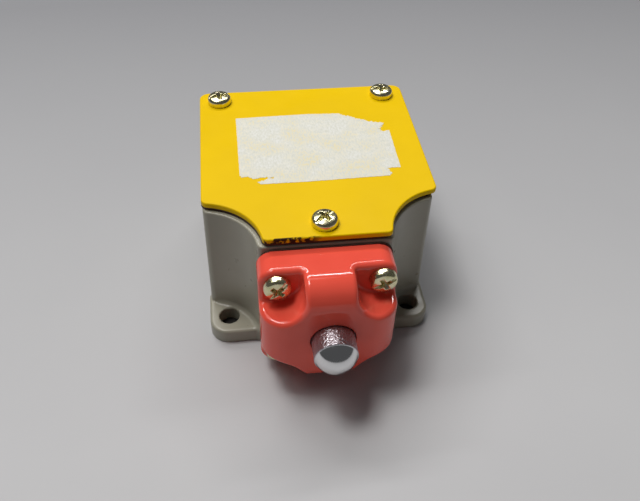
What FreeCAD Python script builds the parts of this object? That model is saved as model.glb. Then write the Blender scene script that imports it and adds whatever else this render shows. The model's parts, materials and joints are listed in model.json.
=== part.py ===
"""Plunger limit switch in a cast housing, as a parametric assembly of separate pieces.

Frame, in millimetres: the origin lies midway between the two front mounting holes, on the mounting face.
X runs across the switch, +Y from the operating head towards the cable entry, +Z from the mounting face
to the cover. The plunger points to -Y.
"""
import FreeCAD, Part
import math
import os
import Sketcher

V = FreeCAD.Vector
doc = FreeCAD.newDocument("limit_switch")

# Driving dimensions: alias, millimetres (or a plain number), meaning.
DRIVING = [
    ("body_half", 32.3, "half width of the housing"),
    ("body_front", -8.9, "face that the operating head bolts to"),
    ("body_rear", 61.2, "outside of the rear wall"),
    ("body_top", 41.35, "rim that the cover gasket lies on"),
    ("corner_x", 34.6, "centre of a hollowed front corner, across"),
    ("corner_y", -10.0, "centre of a hollowed front corner, along"),
    ("corner_radius", 16.4, "radius of the hollowed front corners"),
    ("wall", 3.0, "wall of the casting"),
    ("floor_top", 3.5, "inside floor"),
    ("chest_back", 1.1, "inside face of the thick front wall"),
    ("ear_top", 4.9, "thickness of the mounting ears"),
    ("ear_front", -6.4, "front edge of the mounting ears"),
    ("ear_rear", 9.5, "rear end of the mounting ears, on the side walls"),
    ("ear_half", 33.3, "half width across the mounting ears"),
    ("mount_hole", 3.0, "radius of the mounting holes"),
    ("front_hole_x", 27.5, "front mounting holes, across"),
    ("rear_hole_x", 18.0, "inside mounting holes, across"),
    ("rear_hole_y", 45.5, "inside mounting holes, along"),
    ("axis_height", 22.5, "height of the plunger axis"),
    ("head_half", 18.4, "half side of the square head"),
    ("head_back", -9.4, "back of the head, on its gasket"),
    ("head_front", -26.4, "front of the head"),
    ("head_round", 7.3, "rounding of the front edges of the head"),
    ("head_corner", 4.5, "rounding of the long edges of the head"),
    ("pocket_floor", -17.2, "floor of the corner pockets"),
    ("pocket_wall", 6.7, "inner wall of a pocket from the plunger axis, across"),
    ("pocket_wall_up", 7.9, "inner wall of a pocket from the plunger axis, upright"),
    ("pocket_round", 7.0, "inner corner of a pocket"),
    ("head_screw", 13.9, "head screws from the plunger axis, across"),
    ("head_screw_up", 13.0, "head screws from the plunger axis, upright"),
    ("plunger_radius", 5.85, "plunger"),
    ("ring_edge", -32.3, "front edge of the plunger's shank"),
    ("plunger_tip", -36.1, "tip of the dome"),
    ("stop_face", -13.9, "where the retaining ring meets the bush"),
    ("plunger_end", -10.4, "back end of the plunger at rest"),
    ("chamber_floor", -3.9, "bottom of the spring chamber"),
    ("cover_half", 33.0, "half width of the cover"),
    ("cover_aside", 0.45, "sideways place of the cover, within the play of its screw holes"),
    ("cover_hole", 2.5, "radius of the cover's screw holes"),
    ("cover_front", -8.8, "front edge of the cover's neck"),
    ("cover_rear", 61.9, "rear edge of the cover"),
    ("cover_radius", 17.4, "radius of the cover's hollowed corners"),
    ("cover_top", 43.85, "top of the cover"),
    ("cover_sheet", 1.5, "thickness of the cover"),
    ("front_screw_y", -3.6, "front cover screw, along"),
    ("rear_screw_x", 26.24, "rear cover screws, across"),
    ("rear_screw_y", 56.3, "rear cover screws, along"),
    ("screw_head", 3.7, "radius of an M4 pan head"),
    ("screw_head_tall", 3.1, "height of an M4 pan head"),
    ("screw_shank", 1.95, "radius of an M4 thread, drawn plain"),
    ("block_half", 20.0, "half width of the contact block"),
    ("block_front", 5.0, "front of the contact block"),
    ("block_back", 37.0, "back of the contact block"),
    ("block_bottom", 7.5, "underside of the contact block"),
    ("block_top", 27.0, "top of the contact block"),
    ("closed_bar", 12.8, "front face of the bar of the closed pair"),
    ("open_bar", 24.0, "front face of the bar of the open pair"),
    ("contact_gap", 3.1, "gap of the open pair at rest"),
    ("tip_height", 0.6, "height of a contact tip"),
    ("strip", 0.8, "thickness of contact strips and bars"),
    ("terminal_x", 16.7, "terminal screws, across"),
    ("block_screw_x", 16.0, "screws that hold the contact block, across"),
    ("block_screw_y", 20.5, "screws that hold the contact block, along"),
    ("block_seat", 14.0, "seat of those screws' washers"),
    ("entry_radius", 10.2, "thread of the cable entry"),
    ("cable_radius", 5.5, "cable bore through the gland"),
    ("earth_y", 42.3, "earth screw, along"),
    ("earth_post_top", 8.0, "top of the post under the earth screw"),
    ("seal_front", 51.5, "front face of the gland seal"),
    ("seal_back", 55.0, "back face of the gland seal"),
    ("nut_front", 55.8, "front end of the gland nut's thread"),
]


class Size(float):
    """A number that remembers the spreadsheet expression it stands for."""

    def __new__(cls, value, text):
        size = super().__new__(cls, value)
        size.text = text
        return size

    @staticmethod
    def of(other):
        return other if isinstance(other, Size) else Size(other, repr(float(other)))

    def joined(self, other, sign, value, turned=False):
        left, right = (Size.of(other), self) if turned else (self, Size.of(other))
        return Size(value, "(%s %s %s)" % (left.text, sign, right.text))

    def __add__(self, other):
        return self.joined(other, "+", float(self) + float(other))

    def __radd__(self, other):
        return self.joined(other, "+", float(other) + float(self), turned=True)

    def __sub__(self, other):
        return self.joined(other, "-", float(self) - float(other))

    def __rsub__(self, other):
        return self.joined(other, "-", float(other) - float(self), turned=True)

    def __mul__(self, other):
        return self.joined(other, "*", float(self) * float(other))

    def __rmul__(self, other):
        return self.joined(other, "*", float(other) * float(self), turned=True)

    def __neg__(self):
        return Size(-float(self), "(0 - %s)" % self.text)


class Sizes:
    """The driving dimensions by name, in a spreadsheet that the features are bound to."""

    def __init__(self, rows):
        self.sheet = doc.addObject("Spreadsheet::Sheet", "sizes")
        for row, (alias, value, meaning) in enumerate(rows, start=1):
            self.sheet.set("A%d" % row, meaning)
            self.sheet.set("B%d" % row, repr(value))
            self.sheet.setAlias("B%d" % row, alias)
            setattr(self, alias, Size(value, "<<sizes>>.%s" % alias))
        doc.recompute()


size = Sizes(DRIVING)
nodes = {}


def node(feature, label):
    """Name a finished sub-part; its label names its file."""
    feature.Label = label
    nodes[label] = feature
    return feature


def bind(feature, prop, value):
    """Give one property its number, and tie it to the sheet when it comes from there."""
    if isinstance(value, Size):
        feature.setExpression(prop, value.text)
    elif "." in prop:
        feature.setExpression(prop, repr(float(value)))
    else:
        setattr(feature, prop, value)


def place(feature, at, turn=None):
    """Put a primitive at a point; turn is a rotation of its own Z axis."""
    feature.Placement = FreeCAD.Placement(V(*at), turn or FreeCAD.Rotation())
    for letter, value in zip("xyz", at):
        bind(feature, "Placement.Base." + letter, value)
    return feature


UP = FreeCAD.Rotation()
ALONG = FreeCAD.Rotation(V(1, 0, 0), -90)  # the primitive's own Z points to +Y


def block(name, low, high):
    """A box between two corners."""
    box = doc.addObject("Part::Box", name)
    for prop, start, end in zip(("Length", "Width", "Height"), low, high):
        bind(box, prop, Size.of(end) - start)
    return place(box, low)


def rod(name, radius, start, length, turn=UP):
    """A cylinder from a start point, along Z or, turned, along +Y."""
    cylinder = doc.addObject("Part::Cylinder", name)
    bind(cylinder, "Radius", Size.of(radius))
    bind(cylinder, "Height", Size.of(length))
    return place(cylinder, start, turn)


def across(name, radius, start_y, end_y, x=0.0, z=None):
    """A cylinder along +Y between two places, on the plunger axis unless told otherwise."""
    height = size.axis_height if z is None else z
    return rod(name, radius, (x, start_y, height), Size.of(end_y) - start_y, ALONG)


def fuse(name, pieces):
    """One solid from several that touch or overlap."""
    union = doc.addObject("Part::MultiFuse", name)
    union.Shapes = pieces
    return union


def cut(name, base, tools):
    """The base with every tool taken away."""
    tool = tools[0] if len(tools) == 1 else fuse(name + "_tools", tools)
    result = doc.addObject("Part::Cut", name)
    result.Base = base
    result.Tool = tool
    return result


def common(name, pieces):
    """What all the pieces share."""
    shared = doc.addObject("Part::MultiCommon", name)
    shared.Shapes = pieces
    return shared


def ring(name, inner, outer, start_y, end_y):
    """A ring on the plunger axis."""
    body = across(name + "_disc", outer, start_y, end_y)
    return cut(name, body, [across(name + "_bore", inner, start_y, end_y)])


def group(name, pieces):
    """Several separate solids that share one node."""
    compound = doc.addObject("Part::Compound", name)
    compound.Links = pieces
    return compound


def middle(edge):
    return edge.valueAt((edge.FirstParameter + edge.LastParameter) / 2)


def rounded(name, base, radius, chosen):
    """Fillet the edges of base for which chosen(edge) is true."""
    doc.recompute()
    fillet = doc.addObject("Part::Fillet", name)
    fillet.Base = base
    numbers = [i for i, edge in enumerate(base.Shape.Edges, start=1) if chosen(edge)]
    fillet.Edges = [(number, float(radius), float(radius)) for number in numbers]
    doc.recompute()
    if fillet.Shape.isNull() or not fillet.Shape.isValid():
        raise RuntimeError("the fillet %s failed on %d edges" % (name, len(numbers)))
    return fillet


def runs_along(edge, axis):
    """True for a straight edge parallel to one axis, given as x, y or z."""
    if not isinstance(edge.Curve, Part.Line):
        return False
    direction = edge.Curve.Direction
    return abs(abs(getattr(direction, axis)) - 1) < 1e-6


def near(value, target, slack=0.05):
    return abs(value - float(target)) < slack


def plane(body, role):
    return next(f for f in body.Origin.OriginFeatures if f.Role == role)


def sketch_on(body, name, role, lift=0.0):
    """A sketch on one of the body's own planes, lifted off it along the plane's normal."""
    sketch = body.newObject("Sketcher::SketchObject", name)
    sketch.AttachmentSupport = [(plane(body, role), "")]
    sketch.MapMode = "FlatFace"
    bind(sketch, "AttachmentOffset.Base.z", lift)
    return sketch


def hold_point(sketch, index, point, at):
    """Tie a sketch point's two coordinates to their values."""
    for kind, value in zip(("DistanceX", "DistanceY"), at):
        value = Size.of(value)
        number = sketch.addConstraint(Sketcher.Constraint(kind, -1, 1, index, point, float(value)))
        sketch.setExpression("Constraints[%d]" % number, value.text)


def polygon(sketch, corners):
    """A closed outline of straight lines through the corners."""
    first = sketch.GeometryCount
    count = len(corners)
    for i, corner in enumerate(corners):
        following = corners[(i + 1) % count]
        start, end = (V(float(x), float(y), 0) for x, y in (corner, following))
        sketch.addGeometry(Part.LineSegment(start, end))
    for i in range(count):
        follower = first + (i + 1) % count
        sketch.addConstraint(Sketcher.Constraint("Coincident", first + i, 2, follower, 1))
    for i, corner in enumerate(corners):
        hold_point(sketch, first + i, 1, corner)


def circle(sketch, centre, radius):
    """A circle tied to its centre and radius."""
    radius = Size.of(radius)
    at = V(float(centre[0]), float(centre[1]), 0)
    index = sketch.addGeometry(Part.Circle(at, V(0, 0, 1), float(radius)))
    hold_point(sketch, index, 3, centre)
    number = sketch.addConstraint(Sketcher.Constraint("Radius", index, float(radius)))
    sketch.setExpression("Constraints[%d]" % number, radius.text)


def rectangle_corners(left, bottom, right, top):
    return [(left, bottom), (right, bottom), (right, top), (left, top)]


def pad(body, name, sketch, length):
    feature = body.newObject("PartDesign::Pad", name)
    feature.Profile = sketch
    bind(feature, "Length", Size.of(length))
    doc.recompute()
    return feature


def pocket(body, name, sketch, depth, upward=False):
    """Take a prism out of the body, and check that something really came out."""
    before = body.Shape.Volume
    feature = body.newObject("PartDesign::Pocket", name)
    feature.Profile = sketch
    feature.Reversed = upward
    bind(feature, "Length", Size.of(depth))
    doc.recompute()
    if body.Shape.Volume > before - 1e-3:
        raise RuntimeError("the pocket %s cuts nothing" % name)
    return feature


def body_fillet(body, name, radius, chosen):
    """Fillet chosen edges of a PartDesign body's newest feature."""
    base = body.Tip
    names = ["Edge%d" % i for i, edge in enumerate(base.Shape.Edges, start=1) if chosen(edge)]
    feature = body.newObject("PartDesign::Fillet", name)
    feature.Base = (base, names)
    feature.Radius = radius
    doc.recompute()
    if "Invalid" in feature.State or not body.Shape.isValid():
        raise RuntimeError("the fillet %s failed on %d edges" % (name, len(names)))
    return feature


def revolved(name, outline, round_tip=False):
    """A turned piece: half its outline, in (radius, place along Y), spun about the plunger axis.

    With round_tip, a dome joins the last point of the outline to the first, which is its tip.
    """
    body = doc.addObject("PartDesign::Body", name)
    sketch = sketch_on(body, name + "_profile", "XY_Plane")
    sketch.setExpression("AttachmentOffset.Base.z", size.axis_height.text)
    points = [V(float(x), float(y), 0) for x, y in outline]
    count = len(points)
    last = count - 1 if round_tip else count
    for i in range(last):
        sketch.addGeometry(Part.LineSegment(points[i], points[(i + 1) % count]))
    if round_tip:
        tip, edge = points[0], points[-1]
        reach = abs(float(tip.y) - float(edge.y))
        centre_y = tip.y + (edge.x ** 2 + reach ** 2) / (2 * reach)
        ball = edge.x ** 2 + (edge.y - centre_y) ** 2
        start = math.atan2(tip.y - centre_y, tip.x)
        end = math.atan2(edge.y - centre_y, edge.x)
        dome = Part.Circle(V(0, centre_y, 0), V(0, 0, 1), math.sqrt(ball))
        sketch.addGeometry(Part.ArcOfCircle(dome, start, end))
    for i in range(last - 1):
        sketch.addConstraint(Sketcher.Constraint("Coincident", i, 2, i + 1, 1))
    if round_tip:
        sketch.addConstraint(Sketcher.Constraint("Coincident", last, 1, 0, 1))
        sketch.addConstraint(Sketcher.Constraint("Coincident", last - 1, 2, last, 2))
        sketch.addConstraint(Sketcher.Constraint("PointOnObject", last, 3, -2))
    else:
        sketch.addConstraint(Sketcher.Constraint("Coincident", last - 1, 2, 0, 1))
    for i, corner in enumerate(outline[:last]):
        hold_point(sketch, i, 1, corner)
    if round_tip:
        hold_point(sketch, last - 1, 2, outline[-1])
    spin = body.newObject("PartDesign::Revolution", name + "_turned")
    spin.Profile = sketch
    spin.ReferenceAxis = (sketch, ["V_Axis"])
    spin.Angle = 360
    doc.recompute()
    return body


def coil(name, radius, wire, start_y, end_y, turns, x=0.0):
    """A compression spring on an axis along Y: a helix swept by the wire's circle."""
    helix = doc.addObject("Part::Helix", name + "_helix")
    run = Size.of(end_y) - start_y - 2.2 * wire
    bind(helix, "Radius", radius)
    bind(helix, "Height", run)
    bind(helix, "Pitch", run * (1.0 / turns))
    place(helix, (x, Size.of(start_y) + 1.1 * wire, size.axis_height), ALONG)
    section = doc.addObject("Part::Circle", name + "_section")
    section.Radius = wire / 2
    place(section, (x + radius, Size.of(start_y) + 1.1 * wire, size.axis_height))
    sweep = doc.addObject("Part::Sweep", name)
    sweep.Sections = [section]
    doc.recompute()
    sweep.Spine = (helix, ["Edge1"])
    sweep.Solid = True
    sweep.Frenet = True
    return sweep


def pan_screw(name, head_radius, head_tall, shank_radius, length, slot_wide):
    """A pan-head screw with a cross recess, standing on its thread: the head's underside is at Z = 0."""
    body = doc.addObject("PartDesign::Body", name)
    profile = sketch_on(body, name + "_profile", "XZ_Plane")
    edge_tall = 0.45 * head_tall
    bulge = head_radius ** 2 + (head_tall - edge_tall) ** 2
    ball = bulge / (2 * (head_tall - edge_tall))
    centre = head_tall - ball
    outline = [
        (0.0, -length),
        (shank_radius - 0.4, -length),
        (shank_radius, 0.5 - length),
        (shank_radius, 0.0),
        (head_radius, 0.0),
        (head_radius, edge_tall),
    ]
    points = [V(x, y, 0) for x, y in outline]
    for start, end in zip(points, points[1:]):
        profile.addGeometry(Part.LineSegment(start, end))
    start_angle = math.atan2(edge_tall - centre, head_radius)
    cap = Part.Circle(V(0, centre, 0), V(0, 0, 1), ball)
    profile.addGeometry(Part.ArcOfCircle(cap, start_angle, math.pi / 2))
    profile.addGeometry(Part.LineSegment(V(0, head_tall, 0), points[0]))
    steps = len(points) - 1
    for i in range(steps + 1):
        profile.addConstraint(Sketcher.Constraint("Coincident", i, 2, i + 1, 1))
    profile.addConstraint(Sketcher.Constraint("Coincident", steps + 1, 2, 0, 1))
    for i, corner in enumerate(outline):
        hold_point(profile, *((i, 1) if i < steps else (i - 1, 2)), corner)
    profile.addConstraint(Sketcher.Constraint("PointOnObject", steps, 3, -2))
    hold_point(profile, steps + 1, 1, (0.0, head_tall))
    spin = body.newObject("PartDesign::Revolution", name + "_turned")
    spin.Profile = profile
    spin.ReferenceAxis = (profile, ["V_Axis"])
    spin.Angle = 360
    doc.recompute()
    recess = sketch_on(body, name + "_recess", "XY_Plane", head_tall)
    arm, half = 0.58 * head_radius, slot_wide / 2
    corners = []
    for quarter in range(4):
        turn = FreeCAD.Rotation(V(0, 0, 1), 90 * quarter)
        for x, y in ((half, half), (half, arm), (-half, arm)):
            corner = turn.multVec(V(x, y, 0))
            corners.append((corner.x, corner.y))
    polygon(recess, corners)
    pocket(body, name + "_cross", recess, 0.6 * head_tall)
    return body


def copies(name, master, places, turn=UP):
    """Links to one master piece, one per place, as a group of separate solids."""
    links = []
    for number, at in enumerate(places, start=1):
        link = doc.addObject("App::Link", "%s_%d" % (name, number))
        link.LinkedObject = master
        link.LinkTransform = False
        link.LinkPlacement = FreeCAD.Placement(V(*(float(v) for v in at)), turn)
        links.append(link)
    return group(name + "_group", links)


# ---------------------------------------------------------------- housing

def corner_tool(name, radius, bottom, top):
    """The pair of upright cylinders that hollow the two front corners."""
    tools = []
    for side, mark in ((-1, "left"), (1, "right")):
        at = (side * size.corner_x, size.corner_y, bottom)
        tools.append(rod("%s_%s" % (name, mark), radius, at, Size.of(top) - bottom))
    return tools


COVER_POST = 4.6
BLOCK_POST = 4.0
EARTH_POST = 4.2
FOOT = 5.8
FOOT_TOP = 6.0
POST_FOOT = 2.0
ENTRY_COLLAR = 13.6


def make_housing():
    body = doc.addObject("PartDesign::Body", "housing_shell")
    base = sketch_on(body, "base_outline", "XY_Plane")
    left, right = -size.body_half, size.body_half
    polygon(base, rectangle_corners(left, size.body_front, right, size.body_rear))
    pad(body, "block", base, size.body_top)
    corners = sketch_on(body, "front_corners", "XY_Plane")
    for side in (-1, 1):
        circle(corners, (side * size.corner_x, size.corner_y), size.corner_radius)
    pocket(body, "hollow_corners", corners, size.body_top, upward=True)

    def upright(edge, low_y, high_y, x):
        at = middle(edge)
        return runs_along(edge, "z") and low_y < at.y < high_y and near(abs(at.x), x, 1.0)

    body_fillet(body, "rear_corners", 3.0, lambda edge: upright(edge, 50, 70, size.body_half))
    body_fillet(body, "tip_corners", 1.8, lambda edge: upright(edge, 0, 12, size.body_half))
    neck = size.corner_x - size.corner_radius
    body_fillet(body, "neck_corners", 1.0, lambda edge: upright(edge, -9, -8, neck))

    ears = sketch_on(body, "ear_outlines", "XY_Plane")
    for side in (-1, 1):
        low, high = sorted((side * (neck - 1.0), side * size.ear_half))
        polygon(ears, rectangle_corners(low, size.ear_front, high, size.ear_rear))
    pad(body, "ears", ears, size.ear_top)
    body_fillet(body, "ear_corners", 5.5, lambda edge: upright(edge, -7, -6, size.ear_half))
    body_fillet(body, "ear_ends", 0.8, lambda edge: upright(edge, 9, 10, size.ear_half))

    def from_corner(edge):
        at = middle(edge)
        return math.hypot(abs(at.x) - size.corner_x, at.y - size.corner_y)

    def ear_rim(edge):
        flat = near(middle(edge).z, size.ear_top) and edge.BoundBox.ZLength < 1e-3
        return flat and from_corner(edge) < size.corner_radius - 0.3

    body_fillet(body, "ear_rims", 0.8, ear_rim)

    inside = block("cavity_block", (size.wall - size.body_half, size.chest_back, size.floor_top),
                   (size.body_half - size.wall, size.body_rear - size.wall, size.body_top + 1.0))
    posts = corner_tool("inner_corner", size.corner_radius + size.wall, size.floor_top - 1.0,
                        size.body_top + 2.0)
    ribs = []
    for side, mark in ((-1, "left"), (1, "right")):
        at = (side * size.rear_screw_x, size.rear_screw_y, POST_FOOT)
        ribs.append(rod("cover_post_" + mark, COVER_POST, at, size.body_top))
        at = (side * size.block_screw_x, size.block_screw_y, POST_FOOT)
        ribs.append(rod("block_post_" + mark, BLOCK_POST, at, size.block_bottom - POST_FOOT))
        at = (side * size.rear_hole_x, size.rear_hole_y, POST_FOOT)
        ribs.append(rod("foot_" + mark, FOOT, at, FOOT_TOP - POST_FOOT))
    ribs.append(rod("earth_post", EARTH_POST, (0.0, size.earth_y, POST_FOOT), size.earth_post_top - POST_FOOT))
    ribs.append(across("entry_collar", ENTRY_COLLAR, 50.0, size.body_rear))
    cavity = cut("cavity", inside, posts + ribs)
    hollow = cut("housing_hollow", body, [cavity])
    holes = [
        rod("front_cover_thread", 2.0, (0.0, size.front_screw_y, 32.4), 12.0),
        rod("earth_thread", 1.95, (0.0, size.earth_y, 2.5), 8.0),
        across("spring_chamber", 7.6, size.body_front - 1.0, size.chamber_floor),
        across("pin_passage", 2.8, size.body_front, size.chest_back + 1.0),
        across("entry_thread", size.entry_radius, size.seal_front, size.body_rear + 1.0),
        across("entry_lip", 8.0, 49.0, size.seal_front + 0.5),
    ]
    for side, mark in ((-1, "left"), (1, "right")):
        x = side * size.rear_screw_x
        holes.append(rod("cover_thread_" + mark, 2.0, (x, size.rear_screw_y, 31.0), 12.0))
        holes.append(rod("front_mount_" + mark, size.mount_hole, (side * size.front_hole_x, 0.0, -1.0), 8.0))
        at = (side * size.rear_hole_x, size.rear_hole_y, -1.0)
        holes.append(rod("rear_mount_" + mark, size.mount_hole, at, 8.0))
        at = (side * size.block_screw_x, size.block_screw_y, 2.4)
        holes.append(rod("block_thread_" + mark, 1.5, at, 6.0))
        for level, word in ((-1, "low"), (1, "high")):
            place_x, place_z = side * size.head_screw, size.axis_height + level * size.head_screw_up
            name = "head_thread_%s_%s" % (mark, word)
            holes.append(across(name, 2.0, size.body_front - 1.0, -0.6, place_x, place_z))
    return node(cut("housing_cast", hollow, holes), "housing")


# ---------------------------------------------------------------- cover, gaskets

def plate(name, bottom, thickness, shrink, aside, hole):
    """The cover's outline, drawn in by shrink and put aside along X, as a plate with screw holes."""
    body = doc.addObject("PartDesign::Body", name)
    outline = sketch_on(body, name + "_outline", "XY_Plane", bottom)
    edge = size.cover_half - shrink
    corners = rectangle_corners(aside - edge, size.cover_front + shrink, aside + edge, size.cover_rear - shrink)
    polygon(outline, corners)
    pad(body, name + "_sheet", outline, thickness)
    arcs = sketch_on(body, name + "_corners", "XY_Plane", bottom)
    for side in (-1, 1):
        circle(arcs, (side * size.corner_x + aside, size.corner_y), size.cover_radius + shrink)
    pocket(body, name + "_hollows", arcs, thickness, upward=True)

    def rear(edge):
        return runs_along(edge, "z") and middle(edge).y > 50

    def tip(edge):
        return runs_along(edge, "z") and abs(middle(edge).x) > 30 and middle(edge).y < 20

    def neck(edge):
        return runs_along(edge, "z") and abs(middle(edge).x) < 20

    body_fillet(body, name + "_rear_corners", 3.0, rear)
    body_fillet(body, name + "_tip_corners", 2.2, tip)
    body_fillet(body, name + "_neck_corners", 1.6, neck)
    holes = sketch_on(body, name + "_screw_holes", "XY_Plane", bottom)
    for x, y in cover_screw_places():
        circle(holes, (x + aside, y), hole)
    pocket(body, name + "_holes", holes, thickness, upward=True)
    return body


def cover_screw_places():
    sides = [(side * size.rear_screw_x, size.rear_screw_y) for side in (-1, 1)]
    return [(Size.of(0.0), size.front_screw_y)] + sides


def make_cover():
    bottom = size.cover_top - size.cover_sheet
    body = plate("cover_plate", bottom, size.cover_sheet, 0.0, size.cover_aside, size.cover_hole)

    def top_rim(edge):
        flat = near(middle(edge).z, size.cover_top) and edge.BoundBox.ZLength < 1e-3
        return flat and edge.Length > 1.0 and not near_hole(edge)

    def near_hole(edge):
        at = middle(edge)
        return any(math.hypot(at.x - x, at.y - y) < 3.2 for x, y in cover_screw_places())

    body_fillet(body, "cover_edge", 0.45, top_rim)
    node(body, "cover")

    sheet = plate("gasket_plate", size.body_top, bottom - size.body_top, 0.4, Size.of(0.0), 2.25)
    inner = size.wall + 1.5
    window = block("gasket_window", (inner - size.body_half, size.chest_back + 2.0, size.body_top - 1.0),
                   (size.body_half - inner, size.body_rear - inner, size.cover_top))
    keep = corner_tool("gasket_corner", size.corner_radius + inner, size.body_top - 2.0, size.cover_top + 1.0)
    for side, mark in ((-1, "left"), (1, "right")):
        at = (side * size.rear_screw_x, size.rear_screw_y, size.body_top - 2.0)
        keep.append(rod("gasket_eye_" + mark, 4.8, at, 6.0))
    node(cut("gasket_ring", sheet, [cut("gasket_opening", window, keep)]), "cover_gasket")


# ---------------------------------------------------------------- operating head

def head_screw_places(y):
    places = []
    for level in (-1, 1):
        for side in (-1, 1):
            places.append((side * size.head_screw, y, size.axis_height + level * size.head_screw_up))
    return places


def make_head():
    low = (-size.head_half, size.head_front, size.axis_height - size.head_half)
    high = (size.head_half, size.head_back, size.axis_height + size.head_half)
    blanks = []
    for axis, word in (("x", "rolled_over"), ("z", "rolled_sideways")):
        raw = block(word + "_raw", low, high)
        soft = rounded(word, raw, size.head_round,
                       lambda edge: runs_along(edge, axis) and near(middle(edge).y, size.head_front))
        blanks.append(soft)
    post = block("square_post_raw", low, high)
    blanks.append(rounded("square_post", post, size.head_corner, lambda edge: runs_along(edge, "y")))
    blank = common("head_blank", blanks)
    pockets = []
    for level, word in ((-1, "low"), (1, "high")):
        for side, mark in ((-1, "left"), (1, "right")):
            x0, x1 = sorted((side * size.pocket_wall, side * 30.0))
            z0, z1 = sorted((size.axis_height + level * size.pocket_wall_up, size.axis_height + level * 30.0))
            raw = block("pocket_%s_%s_raw" % (mark, word), (x0, size.head_front - 5.0, z0),
                        (x1, size.pocket_floor, z1))
            inner_x, inner_z = side * size.pocket_wall, size.axis_height + level * size.pocket_wall_up

            def inner_edge(edge):
                at = middle(edge)
                return runs_along(edge, "y") and near(at.x, inner_x) and near(at.z, inner_z)

            def floor_edge(edge):
                at = middle(edge)
                return near(at.y, size.pocket_floor) and max(abs(at.x), abs(at.z - size.axis_height)) < 29.0

            walls = rounded("pocket_walls_%s_%s" % (mark, word), raw, size.pocket_round, inner_edge)
            pockets.append(rounded("pocket_%s_%s" % (mark, word), walls, 0.8, floor_edge))
    cast = cut("head_with_pockets", blank, pockets)

    def rim(edge):
        """On a pocket's wall and on the outer skin of the blank, forward of the pocket floor."""
        at = middle(edge)
        corner = Part.Vertex(at)
        forward = at.y < size.pocket_floor - 0.5
        on_wall = any(tool.Shape.distToShape(corner)[0] < 1e-4 for tool in pockets)
        on_skin = not blank.Shape.isInside(at, 1e-3, False)
        return forward and on_wall and on_skin

    soft = rounded("pocket_rims", cast, 1.0, rim)
    holes = [
        across("plunger_hole", 6.1, size.head_front - 1.0, size.head_back + 1.0),
        across("seal_groove", 7.6, -24.6, -22.0),
        across("bush_bore", 8.0, -22.1, size.head_back + 1.0),
    ]
    for number, (x, y, z) in enumerate(head_screw_places(-18.0), start=1):
        holes.append(across("head_screw_hole_%d" % number, 2.2, y, size.head_back + 1.0, x, z))
    node(cut("head_cast", soft, holes), "head")

    inset = 0.4
    low = (inset - size.head_half, size.head_back, size.axis_height - size.head_half + inset)
    high = (size.head_half - inset, size.body_front, size.axis_height + size.head_half - inset)
    sheet = rounded("head_gasket_sheet", block("head_gasket_raw", low, high), 4.0,
                    lambda edge: runs_along(edge, "y"))
    openings = [across("head_gasket_eye", 8.0, size.head_back - 1.0, size.body_front + 1.0)]
    for number, (x, y, z) in enumerate(head_screw_places(size.head_back - 1.0), start=1):
        openings.append(across("head_gasket_hole_%d" % number, 2.2, y, size.body_front + 1.0, x, z))
    node(cut("head_gasket_ring", sheet, openings), "head_gasket")


def make_screws():
    cover_screw = pan_screw("cover_screw", size.screw_head, size.screw_head_tall, size.screw_shank, 10.0, 1.1)
    spots = [(x, y, size.cover_top) for x, y in cover_screw_places()]
    node(copies("cover_screw", cover_screw, spots), "cover_screws")
    head_screw = pan_screw("head_screw", size.screw_head, size.screw_head_tall, size.screw_shank, 16.0, 1.1)
    facing = FreeCAD.Rotation(V(1, 0, 0), 90)
    node(copies("head_screw", head_screw, head_screw_places(size.pocket_floor), facing), "head_screws")


# ---------------------------------------------------------------- plunger and its springs

RUNNING_GAP = 0.05
RING_THICK = 1.2
SEAT_THICK = 0.8


def make_plunger():
    radius = size.plunger_radius
    groove_start, groove_end = size.stop_face, size.stop_face + RING_THICK
    outline = [
        (Size.of(0.0), size.plunger_tip),
        (Size.of(0.0), Size.of(-24.0)),
        (Size.of(3.25), Size.of(-24.0)),
        (Size.of(3.25), size.plunger_end),
        (radius, size.plunger_end),
        (radius, groove_end + 0.02),
        (Size.of(5.0), groove_end + 0.02),
        (Size.of(5.0), groove_start - 0.02),
        (radius, groove_start - 0.02),
        (radius, size.ring_edge + 0.25),
        (radius - 0.25, size.ring_edge),
    ]
    node(revolved("plunger_body", outline, round_tip=True), "plunger")
    node(ring("snap_ring", Size.of(5.05), Size.of(7.2), groove_start, groove_end), "retaining_ring")
    node(ring("seat_washer", Size.of(5.95), Size.of(7.3), groove_end, groove_end + SEAT_THICK), "spring_seat")
    bush = ring("bush", radius + RUNNING_GAP, Size.of(7.97), Size.of(-21.9), size.stop_face)
    node(bush, "guide_bush")
    wiper = ring("wiper", radius + RUNNING_GAP, Size.of(7.55), Size.of(-24.5), Size.of(-22.2))
    node(wiper, "wiper_seal")
    spring_start = groove_end + SEAT_THICK
    node(coil("return_coil", 6.75, 0.7, spring_start, size.chamber_floor, 3.5), "return_spring")


PIN_HEAD_BACK = -12.4


def make_push_pin():
    stem = across("pin_stem", 2.5, PIN_HEAD_BACK - 2.0, 8.2)
    flange = across("pin_head", 3.15, PIN_HEAD_BACK - 2.0, PIN_HEAD_BACK)
    node(fuse("pin", [stem, flange]), "push_pin")
    node(ring("threaded_ring", Size.of(2.6), Size.of(3.2), PIN_HEAD_BACK, size.plunger_end), "pin_retainer")
    node(coil("overtravel_coil", 2.5, 0.6, -24.0, PIN_HEAD_BACK - 2.0, 6.0), "overtravel_spring")


# ---------------------------------------------------------------- contact block

CHANNEL_FLOOR = 16.8
CARRIER_HALF = 5.6
CARRIER_FRONT = 8.2
CARRIER_BACK = 28.0
CARRIER_TOP = 26.4
CAVITY_HALF = 12.0
CAVITY_FRONT = 8.0
CAVITY_BACK = 33.0
BAR_HALF = 10.5
BAR_LOW, BAR_HIGH = 20.5, 24.5
TIP_X = 9.0
TERMINAL_ROWS = (11.2, 29.5)


def sides():
    return ((-1, "left"), (1, "right"))


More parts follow.
